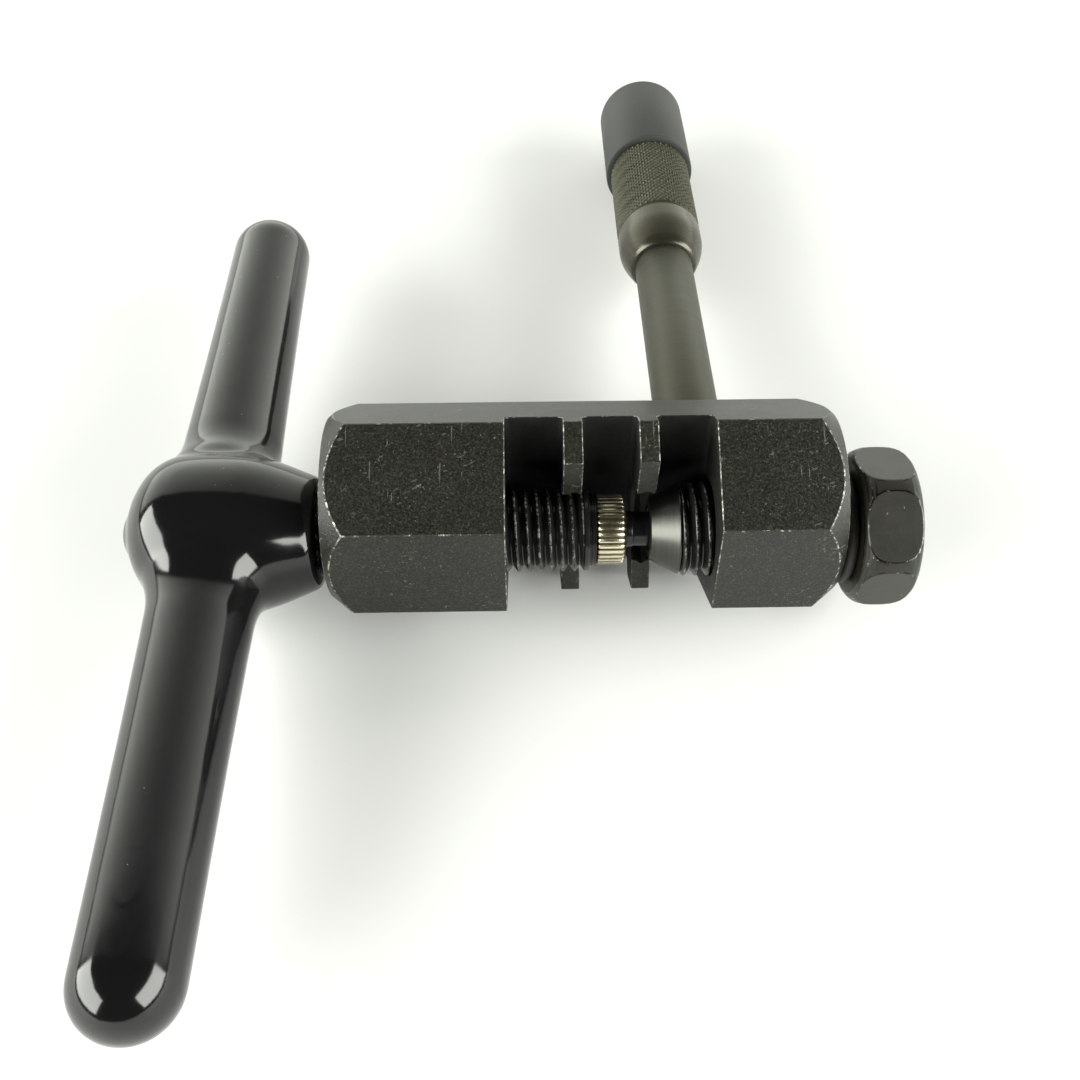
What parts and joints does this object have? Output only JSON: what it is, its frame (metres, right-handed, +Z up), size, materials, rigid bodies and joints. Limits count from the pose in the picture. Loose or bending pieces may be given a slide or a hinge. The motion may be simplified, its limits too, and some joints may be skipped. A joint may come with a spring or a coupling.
{
  "type": "chain tool",
  "caption": "Workshop chain tool: slotted hexagonal steel bar with a dipped T-handle screw driving a push pin, a hollow adjuster bolt and a knurled side handle.",
  "frame": {"origin": "on the screw axis, halfway between the two teeth of the chain seat", "axes": "+X along both screws from the T-handle to the adjuster head, +Y out along the second handle, +Z up"},
  "size_m": [0.0984, 0.1676, 0.0278],
  "materials": {
    "black_oxide_steel": "satin",
    "screw_steel": "semi-gloss",
    "bright_steel": "satin",
    "nickel": "satin",
    "black_dip": "gloss",
    "brown_plated_steel": "satin",
    "black_rubber": "matte",
    "grey_cap": "matte"
  },
  "bodies": {
    "bar": {"hex_body": "black_oxide_steel", "handle_rod": "brown_plated_steel", "handle_sleeve": "brown_plated_steel", "spare_pin": "screw_steel"},
    "cap": {"end_cap": "grey_cap"},
    "pin": {"push_pin": "screw_steel"},
    "spindle": {"main_screw": "screw_steel", "t_bar": "bright_steel", "bar_lock_screw": "bright_steel", "handle_coating": "black_dip", "pin_cap": "nickel"},
    "ring": {"adjuster_ring": "black_rubber"},
    "adjuster": {"adjuster_bolt": "screw_steel"}
  },
  "joints": [
    {"name": "pin_feed", "type": "slide", "parent": "bar", "child": "pin", "axis": [1, 0, 0], "range_m": [-0.0169, 0.0008]},
    {"name": "spindle_turn", "type": "hinge", "parent": "pin", "child": "spindle", "pos_m": [0, 0, 0], "axis": [1, 0, 0], "range_deg": [-4320, 180]},
    {"name": "adjuster_feed", "type": "slide", "parent": "bar", "child": "ring", "axis": [-1, 0, 0], "range_m": [-0.0121, 0.00031]},
    {"name": "adjuster_turn", "type": "hinge", "parent": "ring", "child": "adjuster", "pos_m": [0, 0, 0], "axis": [-1, 0, 0], "range_deg": [-2880, 72]},
    {"name": "end_cap_pull", "type": "slide", "parent": "bar", "child": "cap", "axis": [0, 1, 0], "range_m": [0, 0.016]}
  ],
  "couplings": [
    {"joint": "pin_feed", "follows": "spindle_turn", "m_per_rad": 0.00022282},
    {"joint": "adjuster_feed", "follows": "adjuster_turn", "m_per_rad": 0.00023873}
  ]
}
